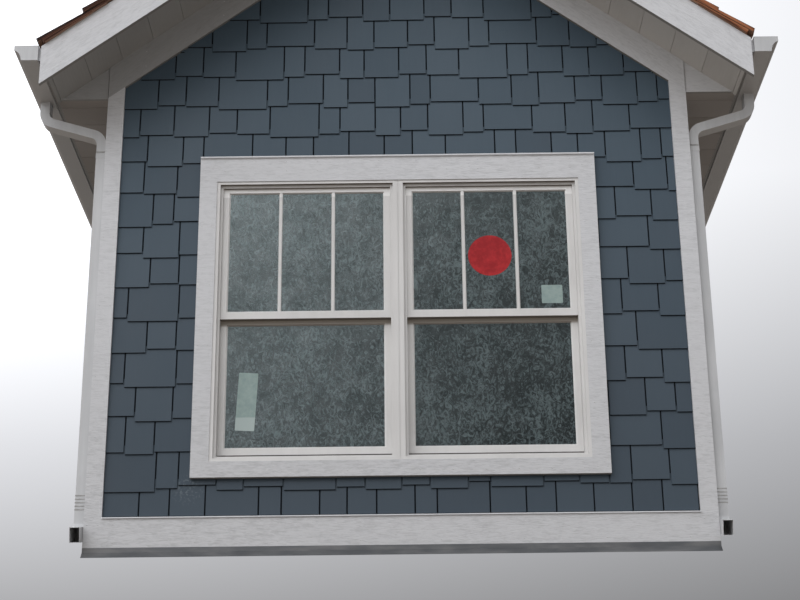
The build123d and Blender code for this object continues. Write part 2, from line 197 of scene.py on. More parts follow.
dress(sawn_timber("timber_down_slope", down_slope, 0), *both("rafters", "valley_sleeper"))
dress(sawn_timber("timber_along_ridge", lambda place: place, 1), "ridge_board", *both("rake_ladder"))

# Front wall and cheek walls: framed walls, boarded and primed, cut below along the main roof.
# They stand on it on a sole plate and are nailed together at the corners.
def primed_board(place):
    mottle = place.clouds((3.5, 3.5, 3.5), 4.0)
    nap = place.clouds((340, 340, 340), 2.0)
    colour = mottle.blend((0.50, 0.49, 0.46), (0.60, 0.59, 0.56))
    relief = (mottle + nap * 0.3).relief(0.0005)
    return {"Base Color": colour, "Roughness": nap.step(0.3, 0.7, 0.78, 0.9), "Normal": relief}


dress(finish("primed_board", {"Specular IOR Level": 0.3}, primed_board), "front_wall", *both("cheek_wall"))

# Roof deck: panels of pressed wood strands, nailed down on the rafters.
# Their underside shows between the rafters, from behind and below.
def strand_board(place):
    run = down_slope(place)
    laid = run.node("ShaderNodeMapping", None, {"Vector": run, "Scale": (14, 34, 34)})
    feeds = {"Vector": laid, "Scale": 1.0, "Randomness": 1.0}
    strands = run.node("ShaderNodeTexVoronoi", {"feature": "F1"}, feeds, 1).axis(0)
    grain = run.clouds((10, 170, 170), 3.0)
    colour = (strands * 0.7 + grain * 0.3).ramp(
        (0.1, (0.34, 0.21, 0.11)), (0.5, (0.52, 0.35, 0.19)), (0.9, (0.66, 0.48, 0.28))
    )
    relief = (strands + grain * 0.4).relief(0.0006)
    return {"Base Color": colour, "Roughness": grain.step(0.3, 0.7, 0.6, 0.8), "Normal": relief}


dress(finish("strand_board", {"Specular IOR Level": 0.25}, strand_board), *both("roof_deck"))

# Bargeboards, fascias, friezes, corner boards, base board, eave returns and window casing.
# Boards of pressed wood with a rough-sawn face, nailed on and painted a cool grey-white.
def rough_sawn(place):
    saw = place.clouds((16, 16, 150), 3.0, 0.6, 1.1)
    grain = place.clouds((18, 18, 60), 2.0, 0.6, 0.8)
    fibres = place.clouds((60, 60, 420), 2.0)
    weather = place.clouds((1.3, 1.3, 0.8), 3.0)
    height = saw * 0.6 + grain * 0.5 + fibres * 0.18
    worn = (height * 0.9 + weather * 0.25).step(0.46, 0.80)
    # Painted shade: the boards darken towards the foot, with a mottle over it, and the hollows' colour darkens low
    # down.
    foot_shade_and_mottle = place.axis(2).step(2.2, -0.1) * 0.27 + weather * 0.15
    hollow_tone_shaded_low = place.axis(2).step(0.9, 0.35).blend((0.530, 0.535, 0.547), (0.45, 0.455, 0.467))
    face_tone_shaded_low = worn.blend(hollow_tone_shaded_low, (0.66, 0.665, 0.68))
    colour = foot_shade_and_mottle.blend(face_tone_shaded_low, (0.36, 0.355, 0.35))
    # Painted shade: surfaces that look down are darker.
    colour = place.underside().blend(colour, (0.23, 0.215, 0.20))
    return {"Base Color": colour, "Roughness": saw.step(0.3, 0.7, 0.62, 0.5), "Normal": height.relief(0.0022)}


def trim(name, laid=lambda place: place, shade_on_left=0.0):
    """Trim paint in coordinates laid out by laid, darker on the left as painted shade."""
    def varied(place):
        made = rough_sawn(laid(place))
        if shade_on_left:
            dust_and_shade = place.axis(0).step(0.3, -0.3, 0.0, shade_on_left)
            made["Base Color"] = dust_and_shade.blend(made["Base Color"], (0.21, 0.205, 0.195))
        return made

    return finish(name, {"Specular IOR Level": 0.4}, varied)


trim_paint = trim("rough_sawn_trim_paint")
dress(trim_paint, "base_board", "window_casing", *both("fascia", "corner_board"))
dress(trim("rough_sawn_barge_paint", down_slope), *both("bargeboard"))
# The friezes and the eave returns get that painted shade on their left.
dress(trim("rough_sawn_frieze_paint", down_slope, 0.55), *both("frieze"))
dress(trim("rough_sawn_return_paint", shade_on_left=0.55), *both("eave_return"))

# Soffit boards: short boards under the rakes and the eaves, butted edge to edge, their edges eased.
# They are nailed up to the rake ladders and the rafter tails, and painted a warm grey.
SIDES = (("right", 1), ("left", -1))


def new_shape():
    shape = bmesh.new()
    shape.faces.layers.float.new("tone")
    return shape


def block(shape, size, middle=(0, 0, 0)):
    """Adds a box and returns its corners."""
    corners = bmesh.ops.create_cube(shape, size=1.0)["verts"]
    bmesh.ops.scale(shape, verts=corners, vec=size)
    bmesh.ops.translate(shape, verts=corners, vec=middle)
    return corners


def edges_of(corners):
    return {e for v in corners for e in v.link_edges}


def faces_of(corners):
    return {f for v in corners for f in v.link_faces}


def length_along(edge, axis):
    return abs(edge.verts[0].co[axis] - edge.verts[1].co[axis])


def ease(shape, edges, offset, segments=1):
    """Bevels edges, round if in several segments, and returns the corners that this makes."""
    fixed = {"profile": 0.5, "affect": "EDGES", "material": -1}
    return bmesh.ops.bevel(shape, geom=edges, offset=offset, segments=segments, **fixed)["verts"]


def tint(shape, corners, tone):
    """Gives the faces round some corners their tone."""
    marks = shape.faces.layers.float.get("tone")
    for face in faces_of(corners):
        face[marks] = tone


def cut(shape, point, normal):
    """Cuts away what lies on the normal's side of a plane, and closes what the cut opened."""
    geom = shape.verts[:] + shape.edges[:] + shape.faces[:]
    made = bmesh.ops.bisect_plane(shape, geom=geom, dist=1e-6, plane_co=point, plane_no=normal, clear_outer=True)
    rim = [e for e in made["geom_cut"] if isinstance(e, bmesh.types.BMEdge) and e.is_boundary]
    if rim:
        bmesh.ops.edgeloop_fill(shape, edges=rim)


def fit(name, shape, paint, slot, *stood_for):
    """Makes the finished shape a piece of the dormer, in place of the CAD nodes that it stands for."""
    mesh = bpy.data.meshes.new(name)
    shape.to_mesh(mesh)
    shape.free()
    mesh.materials.append(paint)
    made = bpy.data.objects.new(name, mesh)
    bpy.context.scene.collection.objects.link(made)
    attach(made, "root")
    if stood_for:
        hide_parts(*stood_for)


BOARD = 0.205
BOARD_THICK = 0.012
BOARD_EASE = 0.0035
BOARD_GAP = 0.0006
FIRST_JOINT = 0.041
CLEAR = 0.0003  # keeps the two slopes' pieces apart at the ridge


def lay_soffit(shape, run, across, first, draws):
    """Lays boards side by side along +X for the length of run, each across metres long in Y, faces down at z 0."""
    joints = [0.0, first]
    while joints[-1] + BOARD < run:
        joints.append(joints[-1] + BOARD)
    for left, right in zip(joints, joints[1:] + [run]):
        size = (right - left - BOARD_GAP, across, BOARD_THICK)
        board = block(shape, size, ((left + right) / 2, 0, BOARD_THICK / 2))
        tint(shape, board, draws.random())
        below = [e for e in edges_of(board) if all(v.co.z < BOARD_THICK / 2 for v in e.verts)]
        ease(shape, [e for e in below if length_along(e, 1) > across / 2], BOARD_EASE, 2)


def soffit_paint(name, along, dark, light):
    def varied(place):
        tone = place.tone()
        grain = down_slope(place).clouds((90, 7, 90) if along == "Y" else (7, 90, 90), 3.0)
        weather = place.clouds((1.6, 1.6, 1.6), 3.0)
        colour = (grain * 0.3 + weather * 0.4 + tone * 0.3).step(0.3, 0.7).blend(dark, light)
        return {"Base Color": colour, "Roughness": grain.step(0.3, 0.7, 0.55, 0.68), "Normal": grain.relief(0.0009)}

    return finish(name, {"Specular IOR Level": 0.35}, varied)


# Painted shade: the left rake's boards and the eaves' boards get darker copies of the paint than the right rake's.
rake_paints = {
    "right": soffit_paint("rake_soffit_paint_right", "Y", (0.475, 0.452, 0.425), (0.545, 0.522, 0.495)),
    "left": soffit_paint("rake_soffit_paint_left_shaded", "Y", (0.295, 0.285, 0.272), (0.345, 0.333, 0.318)),
}
eave_paint = soffit_paint("eave_soffit_paint_shaded", "X", (0.25, 0.22, 0.195), (0.31, 0.275, 0.25))
for name, side in SIDES:
    draws = random.Random(71 + side)
    low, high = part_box(f"rake_soffit_{name}")
    reach = max(abs(low.x), abs(high.x))
    rake = new_shape()
    lay_soffit(rake, reach / cos(SLOPE), high.y - low.y - 0.001, FIRST_JOINT, draws)
    lean = Matrix.Translation((0, (low.y + high.y) / 2, low.z + reach * tan(SLOPE))) @ Matrix.Rotation(SLOPE, 4, "Y")
    bmesh.ops.transform(rake, matrix=lean, verts=rake.verts[:])
    cut(rake, (CLEAR, 0, 0), (-1, 0, 0))
    cut(rake, (reach, 0, 0), (1, 0, 0))
    low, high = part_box(f"eave_soffit_{name}")
    near, far = sorted((abs(low.x), abs(high.x)))
    eave = new_shape()
    lay_soffit(eave, high.y - low.y, far - near - 0.0005, FIRST_JOINT * 2, draws)
    lean = Matrix.Translation(((near + far) / 2, low.y, low.z)) @ Matrix.Rotation(radians(90), 4, "Z")
    bmesh.ops.transform(eave, matrix=lean, verts=eave.verts[:])
    cut(eave, (0, 0, low.z - high.y + BOARD_THICK), (0, 1, -1))
    for shape in (rake, eave):
        bmesh.ops.scale(shape, vec=(side, 1, 1), verts=shape.verts[:])
        bmesh.ops.recalc_face_normals(shape, faces=shape.faces[:])
    fit(f"rake_soffit_{name}_boards", rake, rake_paints[name], "soffit", f"rake_soffit_{name}")
    fit(f"eave_soffit_{name}_boards", eave, eave_paint, "soffit", f"eave_soffit_{name}")

# Nail heads in the trim boards: a pair at each fixing, driven flush and painted over with the boards.
# They run up the corner boards and the casing, along the base board, and up the friezes and bargeboards.
def screw(shape, at, facing, radius, proud):
    """Adds a round head at a place, its axis along facing."""
    taper = {"radius1": radius, "radius2": radius * 0.7, "depth": proud}
    head = bmesh.ops.create_cone(shape, cap_ends=True, segments=12, **taper)["verts"]
    turn = Vector((0, 0, 1)).rotation_difference(Vector(facing)).to_matrix()
    bmesh.ops.rotate(shape, verts=head, cent=(0, 0, 0), matrix=turn)
    bmesh.ops.translate(shape, verts=head, vec=Vector(at) + Vector(facing) * proud / 2)


NAIL_RADIUS = 0.0035
NAIL_PROUD = 0.0009


def nail(shape, board, x, z):
    """Drives a nail into a board's front face."""
    struck, at, facing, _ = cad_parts[board].ray_cast(Vector((x, -2, z)), Vector((0, 1, 0)))
    if struck and facing.y < -0.9:
        screw(shape, at, (0, -1, 0), NAIL_RADIUS, NAIL_PROUD)


nails = new_shape()
casing_low, casing_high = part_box("window_casing")
for name, side in SIDES:
    low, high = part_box(f"corner_board_{name}")
    near, far = sorted((abs(low.x), abs(high.x)))
    for n in range(7):
        for x in (near + 0.016, far - 0.018):
            nail(nails, f"corner_board_{name}", side * x, 0.06 + n * 0.39)
    for n in range(6):
        for x in (0.990, 1.040):
            nail(nails, "window_casing", side * x, 0.33 + n * 0.335)
        for z in (casing_high.z - 0.02, casing_high.z - 0.075, casing_low.z + 0.03):
            nail(nails, "window_casing", side * (0.10 + n * 0.165), z)
    for n in range(4):
        for z in (-0.032, 0.062):
            nail(nails, "base_board", side * (0.2 + n * 0.41), z)
    for board, first, pitch, number, drops in (
        (f"frieze_{name}", 0.12, 0.42, 4, (0.05, 0.14)),
        (f"bargeboard_{name}", 0.15, 0.40, 5, (0.05, 0.17)),
    ):
        for n in range(number):
            for drop in drops:
                x = first + n * pitch
                nail(nails, board, side * x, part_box(board)[1].z - x * tan(SLOPE) - drop)
fit("trim_nail_heads", nails, trim_paint, "trim")

# Apron and step flashings: dark coated sheet, tucked under the siding and the base board.
# They turn water from the walls out over the main roof's covering.
def dark_sheet(place):
    smears = place.clouds((6, 6, 22), 4.0)
    colour = smears.step(0.35, 0.75).blend((0.10, 0.105, 0.11), (0.17, 0.17, 0.17))
    return {"Base Color": colour, "Roughness": smears.step(0.3, 0.7, 0.34, 0.52), "Normal": smears.relief(0.0006)}


dress(finish("dark_coated_sheet", {"Metallic": 0.35}, dark_sheet), "apron_flashing", *both("step_flashing"))

# Drip strip over the base board and drip cap over the casing: bent white sheet, nailed behind the siding.
# Their turned-down noses throw rain clear of the boards below.
def white_sheet(place):
    smears = place.clouds((5, 5, 40), 3.0)
    colour = smears.step(0.3, 0.8).blend((0.62, 0.63, 0.65), (0.72, 0.73, 0.75))
    return {"Base Color": colour, "Roughness": smears.step(0.3, 0.7, 0.32, 0.44)}


dress(finish("white_coated_sheet", {"Specular IOR Level": 0.5}, white_sheet), "base_drip", "casing_drip_cap")

# Front siding: 48 in panels of seven shingles with staggered butts, in lapped courses on the wall.
# Painted slate blue-grey, fitted between the trim boards and round the window casing.
FACE = -0.057  # where the wall's front face lies
SOLE = -0.057  # height of the base board's foot
EXPOSURE = 0.1778  # 7 in of each course shows
FIRST_BUTT = SOLE + 0.1242
BUTT_THICK = 0.014
TAPER = 0.045
LAP = 0.052
KEYWAY = 0.007
BACKING = 0.002
# Painted shadow: the butts and the backing are coloured near black, as the shade under and between the shingles.
SHADOW_TONE = -3.0  # the tone of the backing and the butts, which show as dark lines
SLIVER = 0.003  # no piece of a shingle narrower or lower than this is laid
STRETCH = 0.038  # a shingle that ends this near the next panel is made to end there
STUB = 0.030  # no shingle is begun nearer than this to the next panel
PANELS = {  # width and rise of each shingle above the course's lowest butt, in millimetres
    "A": [(184, 8), (145, 29), (172, 21), (260, 0), (107, 17), (185, 33), (133, 5)],
    "B": [(141, 35), (185, 5), (104, 21), (257, 35), (174, 16), (142, 6), (183, 19)],
    "C": [(193, 22), (258, 0), (139, 14), (177, 0), (135, 20), (185, 0), (104, 35), (259, 6), (173, 31), (144, 19)],
}
COURSES = [  # from the sole up: panel, its first shingle and that shingle's left edge in millimetres
    [("A", 0, -1497), ("B", 0, -265), ("A", 0, 969)],
    [("A", 3, -1495), ("C", 0, -785), ("A", 4, 1051)],
    [("B", 4, -1573), ("A", 0, -1050), ("B", 2, 954)],
    [("B", 0, -1497), ("B", 0, -262), ("A", 0, 1068)],
    [("A", 2, -1591), ("A", 4, 1051)],
    [("A", 0, -1496), ("A", 2, 1056)],
    [("A", 2, -1591), ("A", 4, 1053)],
    [("A", 0, -1495), ("B", 0, 1062)],
    [("B", 0, -1496), ("B", 3, 1065)],
    [("B", 1, -1495), ("A", 4, 1049)],
    [("A", 1, -1511), ("B", 3, 1005)],
    [("B", 0, -1495), ("A", 0, -258), ("B", 0, 979)],
    [("B", 5, -1544), ("A", 0, -1210), ("B", 0, 23), ("B", 3, 1268)],
    [("A", 0, -1494), ("B", 0, -264), ("B", 0, 979)],
    [("B", 6, -1595), ("A", 0, -1405), ("A", 0, -175), ("A", 0, 1063)],
    [("A", 6, -1305), ("B", 0, -1165), ("B", 0, 67)],
    [("A", 0, -1277), ("A", 0, -31)],
    [("B", 0, -1000), ("A", 0, 235)],
    [("A", 1, -700), ("B", 0, 346)],
    [("B", 2, -420), ("A", 0, 470)],
]
DRIFT = [  # how far each course strays above its line at the left and the right corner board, in millimetres
    (0, 0), (-17, -13), (-4, -15), (-8, -5), (5, -8), (5, 1), (9, 3), (14, 5), (5, 11), (6, 12),
    (6, 4), (7, 2), (3, -5), (-5, -7), (-2, -7), (-7, -4), (0, 0),
]
EASE = 0.0013
GABLE_TOP = SOLE + 3.6865
TRIM_IN = 1.489
BASE_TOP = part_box("base_drip")[1].z


def wedge(shape, left, right, foot, head, butt, thin, eased, tone):
    """Adds one shingle that faces -Y, butt thick at its foot and thin at its head, and eases the edges named."""
    marks = shape.faces.layers.float.get("tone")
    middle = Vector(((left + right) / 2, -butt / 2, (foot + head) / 2))
    corners = block(shape, (right - left, butt, head - foot), middle)
    top_face = [v for v in corners if v.co.z > middle.z and v.co.y < middle.y]
    bmesh.ops.translate(shape, verts=top_face, vec=(0, butt - thin, 0))
    chosen = []
    for edge in edges_of(corners):
        ends = [v.co for v in edge.verts]
        if all(p.y < -thin / 2 for p in ends):
            if length_along(edge, 2) > EASE:
                which = "L" if (ends[0].x + ends[1].x) / 2 < middle.x else "R"
            else:
                which = "F" if ends[0].z < middle.z else "head"
            if which in eased:
                chosen.append(edge)
    for face in faces_of(corners):
        face[marks] = tone if face.calc_center_median().z > foot + 1e-5 else SHADOW_TONE
    if chosen:
        ease(shape, chosen, EASE)


def lay_backing(shape, fields):
    """Lays the panels' backing, which shows between the shingles."""
    for left, right, foot, head in fields:
        middle = ((left + right) / 2, -BACKING / 2, (foot + head) / 2)
        tint(shape, block(shape, (right - left, BACKING, head - foot), middle), SHADOW_TONE)


def lay_course(shape, number, run, fields, draws, drift=(0, 0)):
    """Lays one course of a wall's siding, each shingle clipped to the fields it meets.

    The course strays by drift, in millimetres at the wall's left and right ends.
    """
    low = FIRST_BUTT + number * EXPOSURE
    high = low + EXPOSURE + LAP

    def clipped(left, right, foot, head, tone):
        for field_left, field_right, field_foot, field_head in fields:
            a, b = max(left, field_left), min(right, field_right)
            c, d = max(foot, field_foot), min(head, field_head)
            if b - a < SLIVER or d - c < SLIVER:
                continue
            whole = (("L", a == left), ("R", b == right), ("F", c == foot))
            butt = BUTT_THICK - TAPER * (c - low)
            thin = BUTT_THICK - TAPER * (d - low)
            wedge(shape, a, b, c, d, butt, thin, "".join(edge for edge, kept in whole if kept), tone)

    for n, (panel, first, start) in enumerate(run):
        stop = run[n + 1][2] / 1000 - KEYWAY if n + 1 < len(run) else float("inf")
        left = start / 1000
        for width, rise in PANELS[panel][first:]:
            right = left + width / 1000
            if abs(right - stop) < STRETCH:
                right = stop
            if left < stop - STUB:
                share = (left + right) / 4 / TRIM_IN + 0.5
                stray = drift[0] + (drift[1] - drift[0]) * share
                clipped(left, min(right, stop), low + (rise + stray) / 1000, high, draws.random())
            left = right + KEYWAY


drip_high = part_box("casing_drip_cap")[1].z
GAP = 0.0008
x_in = casing_high.x + GAP
front_fields = [
    (-TRIM_IN + GAP, -x_in, BASE_TOP + GAP, GABLE_TOP),
    (x_in, TRIM_IN - GAP, BASE_TOP + GAP, GABLE_TOP),
    (-x_in, x_in, BASE_TOP + GAP, casing_low.z - GAP),
    (-x_in, x_in, drip_high + GAP, GABLE_TOP),
]
siding = new_shape()
draws = random.Random(11)
lay_backing(siding, front_fields)
for number, run in enumerate(COURSES):
    lay_course(siding, number, run, front_fields, draws, DRIFT[min(number, len(DRIFT) - 1)])
bmesh.ops.translate(siding, verts=siding.verts[:], vec=(0, FACE, 0))
for side in (-1, 1):
    cut(siding, (0, 0, GABLE_TOP - 0.001), (side * sin(SLOPE), 0, cos(SLOPE)))

SCUFF = (-1.067, FACE - 0.010, SOLE + 0.295)


def slate_paint(place):
    tone = place.tone()
    grain = place.clouds((70, 70, 5), 3.0, 0.55)
    specks = place.clouds((420, 420, 420), 1.0)
    dust_and_shade = place.clouds((2.2, 2.2, 1.4), 4.0, 0.6)
    mix = tone * 0.38 + dust_and_shade * 0.5 + grain * 0.14
    painted = mix.ramp((0.15, (0.046, 0.070, 0.094)), (0.5, (0.061, 0.092, 0.121)), (0.85, (0.077, 0.111, 0.142)))
    # Painted shade: the paint darkens towards the foot of the wall.
    painted = place.axis(2).step(2.9, 0.0, 0.0, 0.60).blend(painted, (0.026, 0.037, 0.050))
    scuffed = place.distance(SCUFF).step(0.11, 0.02) * place.clouds((75, 75, 75), 3.0, 0.7).step(0.50, 0.72)
    painted = (scuffed * 0.55).blend(painted, (0.17, 0.20, 0.22))
    # Painted shadow: faces whose tone is below -1, the butts and the backing, are near black.
    face = tone > -1.0
    colour = face.blend((0.003, 0.004, 0.006), painted)
    relief = (grain * 0.6 + specks * 0.2).relief(0.0005)
    return {"Base Color": colour, "Roughness": 1.0 - face * dust_and_shade.step(0.3, 0.7, 0.5, 0.38), "Normal": relief}


slate = finish("slate_siding_paint", {"Specular IOR Level": 0.35}, slate_paint)
fit("siding_front_shingles", siding, slate, "siding", "siding_front")

# Cheek sidings: the same panels on the side walls, from the corner board back to the main roof.
# They stop under the eave soffit, and above the step flashing along the slope.
WALL_HALF = 1.553
SIDING_FOOT = 0.050
CHEEK_COURSES = 14
PANEL_RUN = 1235  # in millimetres, with the keyway to the next panel
FIRST_CUTS = (0, 0.434, 0.79)  # what may be cut off a course's first panel
for name, side in SIDES:
    low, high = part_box(f"siding_cheek_{name}")
    cheek = new_shape()
    draws = random.Random(23 + side)
    field = (low.y + GAP, high.y, low.z, high.z - GAP)
    lay_backing(cheek, [field])
    for number in range(CHEEK_COURSES):
        pattern = "ABAB"[(number + (side > 0)) % 2 :]
        start = (low.y - 0.02 - draws.choice(FIRST_CUTS)) * 1000
        run = [(panel, 0, start + n * PANEL_RUN) for n, panel in enumerate(pattern[:3])]
        lay_course(cheek, number, run, [field], draws)
    onto = Matrix.Translation((WALL_HALF, 0, 0)) @ Matrix.Rotation(radians(90), 4, "Z")
    bmesh.ops.transform(cheek, matrix=onto, verts=cheek.verts[:])
    cut(cheek, (0, 0, SIDING_FOOT / cos(radians(45)) + 0.001), (0, 1, -1))
    if side < 0:
        bmesh.ops.scale(cheek, vec=(-1, 1, 1), verts=cheek.verts[:])
        bmesh.ops.reverse_faces(cheek, faces=cheek.faces[:])
    fit(f"siding_cheek_{name}_shingles", cheek, slate, "siding", f"siding_cheek_{name}")

# Window frame and its four sashes: two double-hung units side by side, each upper sash outside its lower one.
# Smooth moulded frame members in a warm white, welded at the corners and screwed into the wall opening.
def stone_white(place):
    """Warm white, with painted shade under the meeting rails and on surfaces that look down, and a painted highlight
    on the upper sashes' top rails.
    """
    haze = place.clouds((2.4, 2.4, 2.4), 3.0)
    streaks = place.clouds((30, 30, 3), 2.0)
    clean = (haze * 0.7 + streaks * 0.3).step(0.35, 0.65).blend((0.61, 0.60, 0.585), (0.67, 0.66, 0.645))
    deep = place.axis(1).step(-0.0215, -0.0205) * place.axis(1).step(-0.008, -0.012)
    meeting_rail_shade = deep * place.axis(2).step(1.118, 1.135) * 0.9
    top_rail_highlight = place.axis(1).step(-0.060, -0.057) * place.axis(2).step(1.845, 1.855)
    colour = meeting_rail_shade.blend(clean, (0.33, 0.295, 0.25))
    colour = top_rail_highlight.blend(colour, (0.85, 0.84, 0.825))
    colour = place.underside().blend(colour, (0.15, 0.125, 0.105))
    return {"Base Color": colour, "Roughness": haze.step(0.3, 0.7, 0.36, 0.44), "Normal": streaks.relief(0.0001)}


window_white = finish("window_stone_white", {"Specular IOR Level": 0.5}, stone_white)
dress(window_white, "window_frame", *both("sash_upper", "sash_lower"))

# Glazing beads and bars: mitred beads hold each pane in its sash, and two upright bars part each upper pane.
# Moulded in the sash colour; the beads snap in round the glass and the bars are bonded to it, inside and out.
BEAD = 0.006
BEAD_STEP = 0.006
BARS = (0.345, 0.625)  # their places to the left and right of the middle
BAR_WIDTH = 0.020
BAR_FACE = 0.014


def hoop(shape, width, height, band, deep, slant=0.0):
    """Adds a rectangular ring round the origin in the XZ plane, its back at y 0 and its face at -deep.

    Its inner edge stands back by slant.
    """
    made = bmesh.ops.create_grid(shape, x_segments=1, y_segments=1, size=0.5)["verts"]
    bmesh.ops.scale(shape, verts=made, vec=(width, height, 1))
    bmesh.ops.rotate(shape, verts=made, cent=(0, 0, 0), matrix=Matrix.Rotation(radians(90), 3, "X"))
    outer = list({f for v in made for f in v.link_faces})
    even = {"use_even_offset": True, "use_boundary": True}
    inner = bmesh.ops.inset_region(shape, faces=outer, thickness=band, **even)["faces"]
    rim = {v for f in outer for v in f.verts}
    bmesh.ops.delete(shape, geom=outer, context="FACES_ONLY")
    pushed = bmesh.ops.extrude_face_region(shape, geom=inner)["geom"]
    front = [g for g in pushed if isinstance(g, bmesh.types.BMVert)]
    bmesh.ops.translate(shape, verts=front, vec=(0, -deep, 0))
    near = [v for v in front if abs(v.co.x) < width / 2 - band / 2 and abs(v.co.z) < height / 2 - band / 2]
    bmesh.ops.translate(shape, verts=near, vec=(0, slant, 0))
    everything = list({f for v in [*front, *rim] for f in v.link_faces})
    bmesh.ops.recalc_face_normals(shape, faces=everything)
    return list({v for f in everything for v in f.verts})


beads = new_shape()
bars = new_shape()
for pane in both("glass_upper", "glass_lower"):
    low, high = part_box(pane)
    middle = (low + high) / 2
    side = 1 if middle.x > 0 else -1
    for face, turned in ((low.y, 1), (high.y, -1)):
        ring = hoop(beads, high.x - low.x, high.z - low.z, BEAD, BEAD_STEP, BEAD_STEP * 0.75)
        if turned < 0:
            bmesh.ops.rotate(beads, verts=ring, cent=(0, 0, 0), matrix=Matrix.Rotation(radians(180), 3, "Z"))
        bmesh.ops.translate(beads, verts=ring, vec=(middle.x, face, middle.z))
        for at in BARS if "upper" in pane else ():
            bar = block(bars, (BAR_WIDTH, BEAD_STEP, high.z - low.z - 0.001))
            outside = [v for v in bar if v.co.y * turned < 0]
            bmesh.ops.scale(bars, verts=outside, vec=(BAR_FACE / BAR_WIDTH, 1, 1))
            bmesh.ops.translate(bars, verts=bar, vec=(side * at, face - turned * BEAD_STEP / 2, middle.z))
fit("glazing_beads", beads, window_white, "window")
fit("window_bars", bars, window_white, "window")

# Weather seals: a dark strip of woven pile along the foot of each lower sash, where it closes on the sill; its
# near-black colour also stands for the shade line there.
# Pushed into a groove in the sash.
def woven_pile(place):
    tufts = place.clouds((900, 300, 300), 2.0)
    colour = tufts.blend((0.045, 0.040, 0.036), (0.10, 0.09, 0.08))
    return {"Base Color": colour, "Roughness": tufts.step(0.3, 0.7, 0.8, 0.95), "Normal": tufts.relief(0.0008)}


PILE_THICK = 0.0026
PILE_HIGH = 0.0085
PILE_OUT = 0.0011  # from the sash's face and its foot to the middle of the strip
PILE_UP = 0.0153
seals = new_shape()
for sash in both("sash_lower"):
    low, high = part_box(sash)
    size = (high.x - low.x - 0.003, PILE_THICK, PILE_HIGH)
    strip = block(seals, size, ((low.x + high.x) / 2, low.y - PILE_OUT, low.z + PILE_UP))
    ease(seals, [e for e in edges_of(strip) if all(v.co.y < low.y - PILE_OUT for v in e.verts)], 0.001, 2)
fit("sash_weather_seals", seals, finish("woven_pile", {"Specular IOR Level": 0.15}, woven_pile), "window")

# Insulating glass: two sealed sheets in each sash, dark green-grey because the room behind is unlit.
# Each unit lies in its sash against a sealant tape.
def dark_glass(place):
    film = place.clouds((3.0, 3.0, 4.0), 4.0, 0.6)
    specks = place.clouds((38, 38, 26), 6.0, 0.78, 1.8)
    waves = place.clouds((7, 7, 7), 2.0) + place.clouds((46, 46, 46), 4.0, 0.75) * 0.24
    # Painted reflection: the mottle of light and dark in the colour stands for reflected sky and branches.
    colour = (film * 0.2 + specks * 0.8).step(0.45, 0.60).blend((0.001, 0.002, 0.002), (0.090, 0.116, 0.120))
    return {"Base Color": colour, "Roughness": film.step(0.3, 0.8, 0.015, 0.05), "Normal": waves.relief(0.0016)}


glass = finish(
    "dark_insulating_glass",
    {"IOR": 1.65, "Alpha": 0.96, "Specular Tint": (0.84, 1.0, 1.0, 1), "Coat Weight": 0.25, "Coat Roughness": 0.02},
    dark_glass,
)
dress(glass, *both("glass_upper", "glass_lower"))

# Plain labels on the outside of the glass: blank paper and film, as left by the installer.
# Two are pale green paper, one is a round red film; each is stuck flat to its pane.
def label_paper(place):
    creases = place.clouds((35, 35, 35), 4.0, 0.6)
    paper = creases.step(0.3, 0.7).blend((0.24, 0.32, 0.305), (0.305, 0.385, 0.365))
    colour = place.axis(2).step(0.632, 0.629).blend(paper, (0.39, 0.46, 0.445))
    return {"Base Color": colour, "Roughness": creases.step(0.3, 0.7, 0.55, 0.7), "Normal": creases.relief(0.0006)}


LABEL_THICK = 0.0005
LABEL_OUT = 0.0004  # from the glass to the middle of the label
labels = new_shape()
upper_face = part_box("glass_upper_right")[0].y
lower_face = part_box("glass_lower_left")[0].y
for left, right, foot, head, face, lean in (
    (-0.838, -0.738, SOLE + 0.616, SOLE + 0.928, lower_face, 3.0),
    (0.748, 0.858, SOLE + 1.283, SOLE + 1.385, upper_face, 0.0),
):
    card = block(labels, (right - left, LABEL_THICK, head - foot))
    rounded = ease(labels, [e for e in edges_of(card) if length_along(e, 1) > LABEL_THICK / 2], 0.005, 3)
    card = list({*[v for v in card if v.is_valid], *rounded})
    bmesh.ops.rotate(labels, verts=card, cent=(0, 0, 0), matrix=Matrix.Rotation(radians(lean), 3, "Y"))
    bmesh.ops.translate(labels, verts=card, vec=((left + right) / 2, face - LABEL_OUT, (foot + head) / 2))
fit("glass_labels", labels, finish("label_paper", {"Specular IOR Level": 0.3}, label_paper), "glass")


def red_film(place):
    wrinkles = place.clouds((30, 30, 30), 4.0, 0.6)
    colour = wrinkles.step(0.35, 0.7).blend((0.30, 0.008, 0.012), (0.46, 0.022, 0.026))
    return {"Base Color": colour, "Roughness": wrinkles.step(0.3, 0.7, 0.3, 0.5), "Normal": wrinkles.relief(0.0012)}


DISC_RADIUS = 0.115
disc = new_shape()
bmesh.ops.create_cone(disc, cap_ends=True, segments=48, radius1=DISC_RADIUS, radius2=DISC_RADIUS, depth=LABEL_THICK)
bmesh.ops.rotate(disc, verts=disc.verts[:], cent=(0, 0, 0), matrix=Matrix.Rotation(radians(90), 3, "X"))
bmesh.ops.translate(disc, verts=disc.verts[:], vec=(0.483, upper_face - LABEL_OUT, SOLE + 1.557))
fit("glass_round_label", disc, finish("red_film", {"Specular IOR Level": 0.2}, red_film), "glass")

